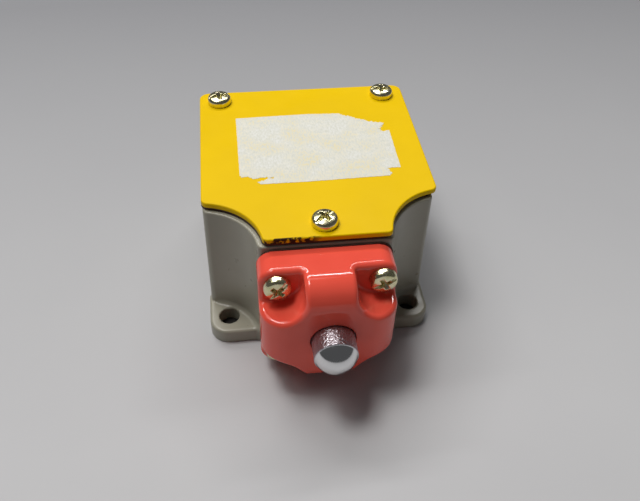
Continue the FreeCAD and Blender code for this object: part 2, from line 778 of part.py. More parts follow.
def closed_leg():
    """Front and back faces of the fixed strips of the closed pair."""
    back = size.closed_bar - 2.0 * size.tip_height
    return back - size.strip, back


def open_leg():
    """Front and back faces of the fixed strips of the open pair."""
    front = size.open_bar + size.strip + 2.0 * size.tip_height + size.contact_gap
    return front, front + size.strip


def make_contact_base():
    low = (-size.block_half, size.block_front, size.block_bottom)
    high = (size.block_half, size.block_back, size.block_top)
    raw = rounded("base_block", block("base_raw", low, high), 1.5, lambda edge: runs_along(edge, "z"))
    above = size.block_top + 1.0
    tools = [
        block("base_cavity", (-CAVITY_HALF, CAVITY_FRONT, CHANNEL_FLOOR), (CAVITY_HALF, CAVITY_BACK, above)),
        across("pin_window", 3.2, 4.0, 9.0),
        across("spring_pocket", 3.4, 32.0, 35.0),
        block("lid_recess", (-13.0, 6.0, size.block_top - 1.2), (13.0, 36.0, above)),
    ]
    for side, mark in sides():
        for (front, back), word in ((closed_leg(), "front"), (open_leg(), "back")):
            x0, x1 = sorted((side * 11.0, side * 14.05))
            low = (x0, front - 0.05, 18.9)
            tools.append(block("slot_%s_%s" % (mark, word), low, (x1, back + 0.05, above)))
        for row, y in enumerate(TERMINAL_ROWS):
            at = (side * size.terminal_x, y, 19.0)
            tools.append(rod("terminal_well_%s_%d" % (mark, row), 2.0, at, 9.0))
        at = (side * size.block_screw_x, size.block_screw_y)
        tools.append(rod("block_well_" + mark, 3.3, (*at, size.block_seat), 14.0))
        tools.append(rod("block_hole_" + mark, 1.7, (*at, 6.0), 9.0))
    node(cut("base_moulding", raw, tools), "contact_base")
    lid = rounded("lid_plate", block("lid_raw", (-12.9, 6.1, size.block_top - 1.2),
                                     (12.9, 35.9, size.block_top + 0.8)),
                  1.0, lambda edge: runs_along(edge, "z"))
    slots = []
    for side, mark in sides():
        for (front, back), word in ((closed_leg(), "front"), (open_leg(), "back")):
            x0, x1 = sorted((side * 7.0, side * 13.5))
            low = (x0, front - 0.1, size.block_top - 2.0)
            slots.append(block("lid_slot_%s_%s" % (mark, word), low, (x1, back + 0.1, size.block_top + 2.0)))
    node(cut("lid", lid, slots), "contact_lid")


def fixed_strip(name, side, leg, pad_y):
    """A strip bent over the block: an upright leg that carries the tip, and a flat pad under the screw."""
    front, back = leg
    x0, x1 = sorted((side * 7.5, side * 14.0))
    upright = block(name + "_leg", (x0, front, 19.0), (x1, back, size.block_top + size.strip))
    x0, x1 = sorted((side * 13.3, side * (size.block_half - 0.4)))
    y0, y1 = pad_y - 3.8, pad_y + 3.8
    shelf = block(name + "_pad", (x0, y0, size.block_top), (x1, y1, size.block_top + size.strip))
    hole = rod(name + "_hole", 1.8, (side * size.terminal_x, pad_y, 26.0), 3.0)
    return cut(name, fuse(name + "_bent", [upright, shelf]), [hole])


def tip(name, x, start):
    return across(name, 1.5, start, start + size.tip_height, x, size.axis_height)


def make_contacts():
    front_y, back_y = TERMINAL_ROWS
    closed = [fixed_strip("closed_strip_" + mark, side, closed_leg(), front_y) for side, mark in sides()]
    node(group("closed_pair", closed), "closed_contacts")
    opened = [fixed_strip("open_strip_" + mark, side, open_leg(), back_y) for side, mark in sides()]
    node(group("open_pair", opened), "open_contacts")
    fixed, moving, bars = [], [], []
    closed_face, open_face = closed_leg()[1], open_leg()[0] - size.tip_height
    for side, mark in sides():
        fixed.append(tip("fixed_front_" + mark, side * TIP_X, closed_face))
        fixed.append(tip("fixed_back_" + mark, side * TIP_X, open_face))
        moving.append(tip("moving_front_" + mark, side * TIP_X, size.closed_bar - size.tip_height))
        moving.append(tip("moving_back_" + mark, side * TIP_X, size.open_bar + size.strip))
    for start, word in ((size.closed_bar, "closed"), (size.open_bar, "open")):
        low = (-BAR_HALF, start, BAR_LOW)
        bar = block(word + "_bar_raw", low, (BAR_HALF, start + size.strip, BAR_HIGH))
        bars.append(rounded(word + "_bar", bar, 1.0, lambda edge: runs_along(edge, "y")))
    node(group("tips_on_strips", fixed), "fixed_tips")
    node(group("tips_on_bars", moving), "bridge_tips")
    node(group("bars", bars), "moving_bridges")


def make_carrier():
    raw = block("carrier_raw", (-CARRIER_HALF, CARRIER_FRONT, CHANNEL_FLOOR + 0.2),
                (CARRIER_HALF, CARRIER_BACK, CARRIER_TOP - 0.8))
    soft = rounded("carrier_soft", raw, 0.6, lambda edge: runs_along(edge, "y"))
    reach = CARRIER_HALF + 1.0
    closed_window = block("closed_window", (-reach, size.closed_bar - 0.1, BAR_LOW - 0.2),
                          (reach, size.closed_bar + 5.4, BAR_HIGH + 0.2))
    open_window = block("open_window", (-reach, size.open_bar - 4.6, BAR_LOW - 0.2),
                        (reach, size.open_bar + size.strip + 0.1, BAR_HIGH + 0.2))
    seat = across("carrier_seat", 3.0, CARRIER_BACK - 1.5, CARRIER_BACK + 1.0)
    node(cut("carrier", soft, [closed_window, open_window, seat]), "contact_carrier")
    bar_back = size.closed_bar + size.strip
    front_spring = coil("closed_pressure", 1.6, 0.6, bar_back, size.closed_bar + 5.4, 3.0)
    back_spring = coil("open_pressure", 1.6, 0.6, size.open_bar - 4.6, size.open_bar, 3.0)
    node(group("pressure_springs", [front_spring, back_spring]), "bridge_springs")
    node(coil("carrier_coil", 2.4, 0.6, CARRIER_BACK - 1.5, 35.0, 5.0), "carrier_spring")


def make_terminals():
    spots = [(side * size.terminal_x, y) for y in TERMINAL_ROWS for side in (-1, 1)]
    pad_top = size.block_top + size.strip
    clamps = []
    for number, (x, y) in enumerate(spots, start=1):
        low, high = (x - 2.8, y - 3.0, pad_top), (x + 2.8, y + 3.0, pad_top + 1.0)
        square = block("clamp_plate_%d" % number, low, high)
        soft = rounded("clamp_soft_%d" % number, square, 0.8, lambda edge: runs_along(edge, "z"))
        clamps.append(cut("clamp_%d" % number, soft, [rod("clamp_hole_%d" % number, 1.8, (x, y, 27.0), 3.0)]))
    node(group("clamps", clamps), "terminal_clamps")
    terminal = pan_screw("terminal_screw", 2.7, 2.1, 1.7, 8.0, 0.9)
    node(copies("terminal_screw", terminal, [(x, y, pad_top + 1.0) for x, y in spots]), "terminal_screws")
    holder = pan_screw("block_screw", 2.7, 2.1, 1.45, 11.0, 0.9)
    seats = [(side * size.block_screw_x, size.block_screw_y) for side in (-1, 1)]
    node(copies("block_screw", holder, [(x, y, size.block_seat + 0.6) for x, y in seats]), "block_screws")
    washers = []
    for number, (x, y) in enumerate(seats, start=1):
        disc = rod("block_washer_disc_%d" % number, 3.0, (x, y, size.block_seat), 0.6)
        hole = rod("block_washer_hole_%d" % number, 1.6, (x, y, 13.0), 2.0)
        washers.append(cut("block_washer_%d" % number, disc, [hole]))
    node(group("block_washer_pair", washers), "block_washers")
    earth = pan_screw("earth_terminal", 3.5, 2.4, 1.9, 5.5, 1.0)
    node(copies("earth_terminal", earth, [(0.0, size.earth_y, size.earth_post_top + 1.0)]), "earth_screw")
    disc = rod("earth_disc", 4.4, (0.0, size.earth_y, size.earth_post_top), 1.0)
    node(cut("earth_ring", disc, [rod("earth_eye", 2.0, (0.0, size.earth_y, 7.0), 3.0)]), "earth_washer")


# ---------------------------------------------------------------- cable entry

def make_gland():
    bore = size.cable_radius
    node(ring("seal_ring", bore, Size.of(10.0), size.seal_front, size.seal_back), "gland_seal")
    node(ring("pressure_ring", bore + 0.2, Size.of(10.0), size.seal_back, size.nut_front), "gland_washer")
    thread = across("nut_thread", size.entry_radius - 0.1, size.nut_front, size.body_rear)
    prism = doc.addObject("Part::Prism", "nut_hexagon")
    prism.Polygon = 6
    prism.Circumradius = 12.7
    prism.Height = 5.0
    place(prism, (0.0, size.body_rear, size.axis_height), ALONG)
    crown = rod("nut_crown", 12.1, (0.0, size.body_rear, size.axis_height), 5.0, ALONG)
    soft_hex = common("nut_head", [prism, rounded("nut_crown_soft", crown, 0.8, round_end)])
    body = fuse("nut_solid", [thread, soft_hex])
    node(cut("nut", body, [across("nut_bore", bore, 55.0, 67.0)]), "gland_nut")


def round_end(edge):
    """The outer rim of a crown that stands on the rear wall."""
    return edge.BoundBox.YLength < 1e-3 and middle(edge).y > size.body_rear + 4.0


def main():
    make_housing()
    make_cover()
    make_head()
    make_screws()
    make_plunger()
    make_push_pin()
    make_contact_base()
    make_contacts()
    make_carrier()
    make_terminals()
    make_gland()
    doc.recompute()
    for feature in doc.Objects:
        if "Invalid" in feature.State or "Error" in feature.State:
            raise RuntimeError("%s failed: %s" % (feature.Label, feature.State))
    os.makedirs("parts", exist_ok=True)
    for label, feature in nodes.items():
        shape = feature.Shape
        if shape.isNull() or not shape.isValid() or not shape.Solids:
            raise RuntimeError("%s has no valid solid" % label)
        shape.exportStep("parts/%s.step" % label)
        print("%-18s %2d solid(s) %10.2f mm3" % (label, len(shape.Solids), shape.Volume))


main()
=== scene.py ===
# %% [markdown]
# # A plunger limit switch, dressed in Blender
#
# The engineering model of the switch already exists: every casting, screw, spring and contact, at its
# real size and place. This notebook gives it its looks. It loads that model as a fixed frame, rebuilds
# the pieces whose shape matters to the eye (castings with thick paint on them never have a sharp edge),
# and gives every piece a finish made of nodes, with no pictures.
#
# Lengths are in millimetres wherever a shape is described, because that is what a maker measures in,
# and are turned into metres at the moment a mesh is made.

# %% Load the frame
import json
import math

import bmesh
import bpy
import numpy as np
from mathutils import Matrix, Vector


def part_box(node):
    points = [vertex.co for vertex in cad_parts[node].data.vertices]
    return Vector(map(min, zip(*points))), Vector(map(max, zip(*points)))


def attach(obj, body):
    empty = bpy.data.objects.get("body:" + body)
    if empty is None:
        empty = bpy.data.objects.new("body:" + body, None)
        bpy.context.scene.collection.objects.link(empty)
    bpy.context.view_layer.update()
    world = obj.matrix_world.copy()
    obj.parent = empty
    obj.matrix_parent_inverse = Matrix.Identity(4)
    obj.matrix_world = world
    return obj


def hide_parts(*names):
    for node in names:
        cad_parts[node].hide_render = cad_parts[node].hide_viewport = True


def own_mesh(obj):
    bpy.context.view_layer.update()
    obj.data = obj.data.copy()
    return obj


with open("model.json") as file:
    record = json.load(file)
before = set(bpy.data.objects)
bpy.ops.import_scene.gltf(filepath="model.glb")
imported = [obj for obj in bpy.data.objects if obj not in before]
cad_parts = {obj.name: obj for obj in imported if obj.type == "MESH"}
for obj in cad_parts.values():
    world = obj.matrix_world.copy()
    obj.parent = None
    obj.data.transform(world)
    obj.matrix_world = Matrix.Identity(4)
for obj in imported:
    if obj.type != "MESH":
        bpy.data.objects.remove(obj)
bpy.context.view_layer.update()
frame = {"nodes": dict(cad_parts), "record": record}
MM = 0.001


# %% [markdown]
# Every piece takes its place from the frame. A node's box, in millimetres, is enough: the head's box
# gives its front, its back and the height of the plunger axis, the cover's box gives the sheet's top,
# and so on. Nothing is measured twice.

# %% Places that the frame gives
def box_mm(node):
    low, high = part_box(node)
    return np.array(low) / MM, np.array(high) / MM


HEAD_LOW, HEAD_HIGH = box_mm("head")
HOUSING_LOW, HOUSING_HIGH = box_mm("housing")
COVER_LOW, COVER_HIGH = box_mm("cover")
AXIS_Z = (HEAD_LOW[2] + HEAD_HIGH[2]) / 2
print("plunger axis at z = %.2f mm, cover top at %.2f mm" % (AXIS_Z, COVER_HIGH[2]))


# %% [markdown]
# ## Camera
#
# The switch is seen from above the plunger, a little from the left, with the camera rolled by about
# two degrees. A camera is easiest to place by what it looks at: a target point, two angles and a distance.
# Its three axes then follow, and no constraint is needed.

# %% Camera
TARGET = Vector((0.26, 4.94, 25.0)) * MM
AZIMUTH, ELEVATION, ROLL = (math.radians(a) for a in (-8.47, 44.76, 1.95))
DISTANCE = 207.15 * MM
LENS, SENSOR_WIDTH = 39.87, 36.0


def camera_axes(azimuth, elevation, roll):
    back = Vector((math.sin(azimuth) * math.cos(elevation),
                   -math.cos(azimuth) * math.cos(elevation),
                   math.sin(elevation)))
    right = Vector((math.cos(azimuth), math.sin(azimuth), 0.0))
    up = back.cross(right)
    turned_right = math.cos(roll) * right + math.sin(roll) * up
    turned_up = math.cos(roll) * up - math.sin(roll) * right
    return turned_right, turned_up, back


right, up, back = camera_axes(AZIMUTH, ELEVATION, ROLL)
camera_data = bpy.data.cameras.new("camera")
camera_data.lens = LENS
camera_data.sensor_width = SENSOR_WIDTH
camera_data.clip_start = 0.01
camera = bpy.data.objects.new("camera", camera_data)
bpy.context.scene.collection.objects.link(camera)
turn = Matrix((right, up, back)).transposed().to_4x4()
camera.matrix_world = Matrix.Translation(TARGET + DISTANCE * back) @ turn
bpy.context.scene.camera = camera
print("camera at", [round(v, 4) for v in camera.matrix_world.translation])


# %% [markdown]
# ## Floor and light
#
# A pale floor under three soft lamps. Glossy paint shows its light as a shape, so the lamps are
# panels: a wide ceiling one behind and to the left, a long narrow tube behind that draws the thin
# bright line where the head's flat top starts to roll over, and a small one overhead on the left.

# %% Floor
def new_object(name, mesh):
    obj = bpy.data.objects.new(name, mesh)
    bpy.context.scene.collection.objects.link(obj)
    return obj


def mesh_from(name, points, faces, smooth=True):
    mesh = bpy.data.meshes.new(name)
    mesh.from_pydata([tuple(p) for p in points], [], [tuple(f) for f in faces])
    mesh.update()
    if smooth:
        mesh.polygons.foreach_set("use_smooth", [True] * len(mesh.polygons))
    return new_object(name, mesh)


FLOOR_HALF = 3.0
floor = mesh_from("floor", [(-FLOOR_HALF, -FLOOR_HALF, 0), (FLOOR_HALF, -FLOOR_HALF, 0),
                            (FLOOR_HALF, FLOOR_HALF, 0), (-FLOOR_HALF, FLOOR_HALF, 0)], [(0, 1, 2, 3)])


# %% Lamps
def panel(name, at, aim, width, depth, watts, warmth=(1.0, 1.0, 1.0)):
    data = bpy.data.lights.new(name, "AREA")
    data.shape = "RECTANGLE"
    data.size = width
    data.size_y = depth
    data.energy = watts
    data.color = warmth
    lamp = bpy.data.objects.new(name, data)
    bpy.context.scene.collection.objects.link(lamp)
    direction = Vector(aim) - Vector(at)
    lamp.rotation_euler = direction.to_track_quat("-Z", "Y").to_euler()
    lamp.location = at
    return lamp


panel("ceiling", (-0.45, 0.38, 1.30), (0, 0.02, 0), 1.20, 0.80, 6.3, (1.0, 0.99, 0.965))
panel("tube", (-0.05, 0.66, 0.86), (0, 0, 0.02), 1.00, 0.065, 4.8, (1.0, 0.99, 0.98))
panel("overhead", (-0.30, 0.15, 1.10), (0, 0.02, 0), 0.30, 0.30, 4.9, (1.0, 0.985, 0.96))

world = bpy.data.worlds.new("room")
bpy.context.scene.world = world
world.use_nodes = True
world.node_tree.nodes["Background"].inputs["Color"].default_value = (0.80, 0.81, 0.83, 1.0)
world.node_tree.nodes["Background"].inputs["Strength"].default_value = 0.10
bpy.context.scene.view_settings.view_transform = "Standard"


# %% [markdown]
# ## Finishes
#
# Each finish is a small node tree: a Principled shader, a colour that drifts a little over the piece,
# a roughness that drifts too, and one or two layers of bump. The drift is what separates a painted
# casting from plastic. All patterns are measured in millimetres on the piece itself, through the
# Object coordinates, so they are the same size on every piece that shares a finish.

# %% A small kit for node trees
class Finish:
    """One material's tree, with short ways to add the nodes that these finishes need."""

    def __init__(self, name):
        self.material = bpy.data.materials.new(name)
        self.material.use_nodes = True
        self.tree = self.material.node_tree
        self.shader = self.tree.nodes["Principled BSDF"]
        self.place = self.tree.nodes.new("ShaderNodeTexCoord").outputs["Object"]

    def set(self, **sockets):
        for socket, value in sockets.items():
            self.shader.inputs[socket.replace("_", " ")].default_value = value
        return self

    def link(self, source, target):
        self.tree.links.new(source, target)

    def stretched(self, factors):
        node = self.tree.nodes.new("ShaderNodeMapping")
        node.inputs["Scale"].default_value = factors
        self.link(self.place, node.inputs["Vector"])
        return node.outputs["Vector"]

    def noise(self, size_mm, detail=3.0, rough=0.5, place=None):
        node = self.tree.nodes.new("ShaderNodeTexNoise")
        node.inputs["Scale"].default_value = 1.0 / (size_mm * MM)
        node.inputs["Detail"].default_value = detail
        node.inputs["Roughness"].default_value = rough
        self.link(place or self.place, node.inputs["Vector"])
        return node.outputs["Fac"]

    def along(self, axis):
        node = self.tree.nodes.new("ShaderNodeSeparateXYZ")
        self.link(self.place, node.inputs["Vector"])
        return node.outputs[axis]

    def remap(self, value, low, high, to_low=0.0, to_high=1.0):
        node = self.tree.nodes.new("ShaderNodeMapRange")
        for socket, number in zip(("From Min", "From Max", "To Min", "To Max"), (low, high, to_low, to_high)):
            node.inputs[socket].default_value = number
        self.link(value, node.inputs["Value"])
        return node.outputs["Result"]

    def math(self, operation, a, b):
        node = self.tree.nodes.new("ShaderNodeMath")
        node.operation = operation
        for socket, value in zip(node.inputs, (a, b)):
            if isinstance(value, (int, float)):
                socket.default_value = value
            else:
                self.link(value, socket)
        return node.outputs["Value"]

    def mix(self, factor, a, b):
        node = self.tree.nodes.new("ShaderNodeMix")
        node.data_type = "RGBA"
        sockets = {s.identifier: s for s in node.inputs}
        for key, value in (("A_Color", a), ("B_Color", b)):
            if isinstance(value, tuple):
                sockets[key].default_value = (*value, 1.0)
            else:
                self.link(value, sockets[key])
        self.link(factor, sockets["Factor_Float"])
        return next(s for s in node.outputs if s.identifier == "Result_Color")

    def bump(self, height, depth_mm, strength=1.0):
        node = self.tree.nodes.new("ShaderNodeBump")
        node.inputs["Strength"].default_value = strength
        node.inputs["Distance"].default_value = depth_mm * MM
        self.link(height, node.inputs["Height"])
        normal = self.shader.inputs["Normal"]
        if normal.is_linked:
            self.link(normal.links[0].from_socket, node.inputs["Normal"])
        self.link(node.outputs["Normal"], normal)
        return self

    def colour(self, socket):
        self.link(socket, self.shader.inputs["Base Color"])
        return self

    def roughness(self, socket):
        self.link(socket, self.shader.inputs["Roughness"])
        return self


def wear(obj, finish):
    """Put a finish on a piece, in place of whatever it came with."""
    obj.data.materials.clear()
    obj.data.materials.append(finish)


# %% [markdown]
# The head wears thick glossy enamel. Wet enamel levels itself, so its surface has only a slow swell
# (the "orange peel") and the colour is even. On the flat top a run of paint has dried as a long oval
# swell. Here it is about two hundredths of a millimetre high, which is too low to catch the lamps, so
# it hardly shows. A clear coat over the paint gives the sharp highlight, and the paint under it is a
# little rougher. The cover's front edge has dark chips, made by a noise that is cut off sharply.

# %% Enamels and paints
def head_enamel():
    f = Finish("head_enamel").set(Roughness=0.5, Specular_IOR_Level=0.0,
                                  Coat_Weight=1.0, Coat_Roughness=0.04, Coat_IOR=1.5)
    drift = f.noise(14.0, 2.0)
    f.colour(f.mix(f.remap(drift, 0.35, 0.65), (0.91, 0.104, 0.066), (0.86, 0.090, 0.056)))
    f.bump(f.noise(2.6, 1.0), 0.022)
    f.bump(f.noise(0.5, 1.0), 0.002)
    across = f.math("DIVIDE", f.math("SUBTRACT", f.along("X"), -5.5 * MM), 10.0 * MM)
    along = f.math("DIVIDE", f.math("SUBTRACT", f.along("Y"), -12.6 * MM), 1.9 * MM)
    oval = f.math("ADD", f.math("MULTIPLY", across, across), f.math("MULTIPLY", along, along))
    on_top = f.remap(f.along("Z"), (HEAD_HIGH[2] - 1.2) * MM, (HEAD_HIGH[2] - 0.9) * MM)
    f.bump(f.math("MULTIPLY", f.remap(oval, 1.25, 0.75), on_top), 0.018)
    return f.material


def cover_enamel():
    f = Finish("cover_enamel").set(Specular_IOR_Level=0.07)
    drift = f.noise(22.0, 3.0)
    yellow = f.mix(f.remap(drift, 0.35, 0.65), (0.87, 0.570, 0.0), (0.83, 0.540, 0.0))
    at_edge = f.remap(f.along("Y"), (COVER_LOW[1] + 0.55) * MM, (COVER_LOW[1] + 0.30) * MM)
    left_half = f.remap(f.along("X"), -1.0 * MM, -4.0 * MM)
    worn = f.remap(f.noise(1.8, 4.0), 0.42, 0.50)
    chip = f.math("MULTIPLY", f.math("MULTIPLY", at_edge, left_half), worn)
    f.colour(f.mix(chip, yellow, (0.045, 0.022, 0.012)))
    f.roughness(f.remap(f.noise(6.0, 4.0), 0.3, 0.7, 0.33, 0.45))
    f.bump(f.noise(1.1, 2.0), 0.006)
    return f.material


def casting_paint():
    f = Finish("casting_paint").set(Specular_IOR_Level=0.5)
    drift = f.noise(18.0, 4.0)
    f.colour(f.mix(f.remap(drift, 0.3, 0.7), (0.345, 0.330, 0.262), (0.312, 0.296, 0.232)))
    f.roughness(f.remap(f.noise(4.0, 4.0), 0.3, 0.7, 0.27, 0.38))
    f.bump(f.noise(1.6, 3.0), 0.014)
    f.bump(f.noise(0.35, 2.0), 0.004)
    return f.material


# %% [markdown]
# The screws are zinc plated and yellow passivated. The film is thinner than a wavelength here and
# there, so it swings between straw, olive and a trace of pink. Two noises at different sizes, mixed
# into the metal's colour, are enough for that at this scale.

# %% Metals
def metal(name, light, dark, roughness, grain_mm=1.2, depth_mm=0.004, drift_mm=2.5):
    f = Finish(name).set(Metallic=1.0)
    f.colour(f.mix(f.remap(f.noise(drift_mm, 3.0), 0.3, 0.7), light, dark))
    f.roughness(f.remap(f.noise(grain_mm, 4.0), 0.3, 0.7, roughness - 0.06, roughness + 0.07))
    f.bump(f.noise(grain_mm, 3.0), depth_mm)
    return f.material


def yellow_zinc():
    f = Finish("yellow_zinc").set(Metallic=1.0)
    film = f.mix(f.remap(f.noise(1.6, 3.0), 0.38, 0.62), (0.80, 0.74, 0.50), (0.62, 0.60, 0.34))
    f.colour(f.mix(f.remap(f.noise(0.7, 2.0), 0.60, 0.75), film, (0.72, 0.52, 0.46)))
    f.roughness(f.remap(f.noise(0.6, 4.0), 0.3, 0.7, 0.14, 0.30))
    f.bump(f.noise(0.45, 3.0), 0.010)
    return f.material


# %% [markdown]
# The plunger has two finishes on one piece of steel: the dome is polished, the shank behind its ring
# edge is left coarse from turning and glitters. One mask, made from the place along the plunger,
# switches the roughness and the bump.

# %% Plunger steel
RING_EDGE_Y = -32.3


def plunger_steel():
    f = Finish("plunger_steel").set(Metallic=1.0)
    shank = f.remap(f.along("Y"), RING_EDGE_Y * MM, (RING_EDGE_Y + 0.15) * MM)
    f.colour(f.mix(shank, (0.74, 0.74, 0.75), (0.50, 0.47, 0.51)))
    polished = f.remap(f.noise(1.5, 4.0), 0.3, 0.7, 0.07, 0.16)
    coarse = f.remap(f.noise(0.3, 2.0), 0.3, 0.7, 0.24, 0.44)
    f.roughness(f.math("ADD", f.math("MULTIPLY", shank, coarse),
                       f.math("MULTIPLY", f.math("SUBTRACT", 1.0, shank), polished)))
    grit = f.math("MULTIPLY", f.noise(0.55, 2.0), shank)
    f.bump(grit, 0.26)
    return f.material


# %% [markdown]
# Rubber and moulded plastic are the same idea with other numbers. The floor is a pale card with painted
# shade on it: it is painted darker towards the back, as a falloff of light, and painted nearly black under
# the switch, where shade falls, so that the drilled holes look deep.

# %% Rubber, plastics and floor
def soft_matter(name, light, dark, roughness, grain_mm=0.8, depth_mm=0.01, drift_mm=6.0):
    f = Finish(name)
    f.colour(f.mix(f.remap(f.noise(drift_mm, 4.0), 0.3, 0.7), light, dark))
    f.roughness(f.remap(f.noise(grain_mm, 3.0), 0.3, 0.7, roughness - 0.08, roughness + 0.08))
    f.bump(f.noise(grain_mm, 3.0), depth_mm)
    return f.material


def clear_plastic():
    f = Finish("clear_plastic").set(Transmission_Weight=0.92, IOR=1.49, Base_Color=(0.93, 0.96, 0.95, 1.0))
    f.roughness(f.remap(f.noise(3.0, 3.0), 0.3, 0.7, 0.05, 0.12))
    return f.material


def floor_card_with_painted_shade():
    f = Finish("floor_card_with_painted_shade").set(Roughness=0.9, Specular_IOR_Level=0.1)
    pale = f.mix(f.noise(60.0, 3.0), (0.53, 0.53, 0.545), (0.57, 0.57, 0.58))
    # Painted shade: the floor is painted darker towards the back, as the light falls off.
    far_shade_amount = f.remap(f.along("Y"), -0.04, 0.22)
    pale_with_painted_far_shade = f.mix(far_shade_amount, pale, (0.275, 0.277, 0.292))
    # Painted shade: under the switch the floor is painted nearly black, so that the holes look dark inside.
    under_switch_shade_x = f.remap(f.math("ABSOLUTE", f.along("X"), 0.0), 0.0315, 0.0305)
    under_switch_shade_y = f.remap(f.math("ABSOLUTE", f.math("SUBTRACT", f.along("Y"), 0.027), 0.0), 0.0315, 0.0305)
    f.colour(f.mix(f.math("MULTIPLY", under_switch_shade_x, under_switch_shade_y), pale_with_painted_far_shade, (0.03, 0.028, 0.027)))
    return f.material


wear(floor, floor_card_with_painted_shade())
FINISHES = {
    "housing_paint": casting_paint(),
    "cover_paint": cover_enamel(),
    "head_paint": head_enamel(),
    "gasket_rubber": soft_matter("gasket_rubber", (0.075, 0.028, 0.016), (0.045, 0.018, 0.012), 0.62),
    "seal_rubber": soft_matter("seal_rubber", (0.022, 0.022, 0.023), (0.015, 0.015, 0.016), 0.5),
    "zinc_steel": yellow_zinc(),
    "plunger_steel": plunger_steel(),
    "spring_steel": metal("spring_steel", (0.42, 0.42, 0.43), (0.33, 0.33, 0.34), 0.30),
    "bright_steel": metal("bright_steel", (0.66, 0.66, 0.67), (0.58, 0.58, 0.60), 0.24),
    "bush_brass": metal("bush_brass", (0.74, 0.52, 0.22), (0.66, 0.45, 0.18), 0.28),
    "moulding": soft_matter("moulding", (0.040, 0.020, 0.013), (0.030, 0.015, 0.010), 0.36),
    "carrier_plastic": soft_matter("carrier_plastic", (0.62, 0.56, 0.44), (0.56, 0.50, 0.39), 0.42),
    "clear_lid": clear_plastic(),
    "contact_brass": metal("contact_brass", (0.78, 0.57, 0.25), (0.70, 0.49, 0.20), 0.26),
    "contact_silver": metal("contact_silver", (0.82, 0.81, 0.78), (0.72, 0.71, 0.68), 0.22),
    "gland_metal": metal("gland_metal", (0.62, 0.62, 0.61), (0.54, 0.54, 0.53), 0.33),
}
slot_of = {s["node"]: s["material_slot"] for s in frame["record"]["subparts"]}
for node_name, node_object in frame["nodes"].items():
    wear(node_object, FINISHES[slot_of[node_name]])
print("finishes:", len(FINISHES))


# %% [markdown]
# ## Carving castings out of distances
#
# A painted casting has no sharp edge anywhere: every corner is a small round, every inside corner a
# fillet. Bevelling such a shape face by face is fragile. It is simpler to say, for any point in
# space, how far it is from the surface, negative inside. Two such distances join with a fillet or cut
# with a rounded edge by one short formula each, and the skin where the distance is zero can be found
# on a grid and then pulled onto the true surface. The same distance gives exact normals, so even a
# modest mesh reflects like the real thing.

# %% Joining and cutting distances
def rounded_max(a, b, radius):
    """Inside both a and b, with the outer edge between them rounded."""
    corner = np.hypot(np.maximum(a + radius, 0), np.maximum(b + radius, 0))
    return np.minimum(np.maximum(a, b), -radius) + corner


def filleted_min(a, b, radius):
    """Inside a or b, with the inner corner between them filleted."""
    return -rounded_max(-a, -b, radius)


def between(value, low, high):
    """Distance to the slab from low to high."""
    return np.abs(value - (low + high) / 2) - (high - low) / 2


# %% From a distance to a mesh
def grid_skin(distance, low, high, step):
    """Points and four-sided faces near the surface, one point per grid cell that it crosses."""
    axes = [np.arange(a - 1.5 * step, b + 2.5 * step, step) for a, b in zip(low, high)]
    field = distance(*np.meshgrid(*axes, indexing="ij"))
    cells = tuple(n - 1 for n in field.shape)
    total, count = np.zeros(cells + (3,)), np.zeros(cells)
    crossings = []
    for axis in range(3):
        start = np.take(field, range(cells[axis]), axis)
        end = np.take(field, range(1, cells[axis] + 1), axis)
        crossed = np.argwhere((start < 0) != (end < 0))
        a, b = start[tuple(crossed.T)], end[tuple(crossed.T)]
        at = crossed.astype(float)
        at[:, axis] += a / (a - b)
        others = [o for o in range(3) if o != axis]
        ring = []
        for shift in ((-1, -1), (0, -1), (0, 0), (-1, 0)):
            cell = crossed.copy()
            cell[:, others[0]] += shift[0]
            cell[:, others[1]] += shift[1]
            np.add.at(total, tuple(cell.T), at)
            np.add.at(count, tuple(cell.T), 1)
            ring.append(cell)
        crossings.append((axis, a < 0, ring))
    live = count > 0
    number = np.full(cells, -1)
    number[live] = np.arange(live.sum())
    points = total[live] / count[live][:, None] * step + np.array([axis[0] for axis in axes])
    faces = []
    for axis, leaving, ring in crossings:
        quads = np.stack([number[tuple(cell.T)] for cell in ring], axis=1)
        flip = leaving if axis != 1 else ~leaving
        quads[~flip] = quads[~flip][:, ::-1]
        faces.append(quads)
    return points, np.concatenate(faces)


def slope(distance, points, feel=0.004):
    """The direction in which the distance grows, by small steps each way."""
    columns = []
    for axis in range(3):
        nudge = np.zeros(3)
        nudge[axis] = feel
        columns.append(distance(*(points + nudge).T) - distance(*(points - nudge).T))
    return np.stack(columns, axis=1) / (2 * feel)


def carve(name, distance, low, high, step, merge_flat=True):
    """A mesh of the surface where distance is zero, pulled onto it and with exact normals."""
    points, faces = grid_skin(distance, low, high, step)
    for _ in range(4):
        lean = slope(distance, points)
        strength = np.maximum((lean ** 2).sum(axis=1), 0.3)
        move = -lean * (distance(*points.T) / strength)[:, None]
        reach = np.linalg.norm(move, axis=1)
        points = points + move * np.minimum(1, 0.7 * step / np.maximum(reach, 1e-9))[:, None]
    obj = mesh_from(name, points * MM, faces)
    if merge_flat:
        shape = bmesh.new()
        shape.from_mesh(obj.data)
        bmesh.ops.dissolve_limit(shape, angle_limit=math.radians(0.25), verts=shape.verts, edges=shape.edges,
                                 use_dissolve_boundaries=False)
        shape.to_mesh(obj.data)
        shape.free()
    places = np.array([v.co for v in obj.data.vertices]) / MM
    lean = slope(distance, places)
    lean /= np.maximum(np.linalg.norm(lean, axis=1), 1e-9)[:, None]
    obj.data.normals_split_custom_set_from_vertices([tuple(n) for n in lean])
    print("%s: %d points, %d faces" % (name, len(obj.data.vertices), len(obj.data.polygons)))
    return obj


# %% [markdown]
# ## Operating head
#
# The head is a square block whose front edges are rolled over by a large radius, with a pocket cut
# into each corner for a screw. Because it is the same on all four sides, the distance is written for
# one quarter, and the absolute values repeat it. The skin and the pockets sit about half a millimetre
# off the bore, as on a casting whose holes are machined later.

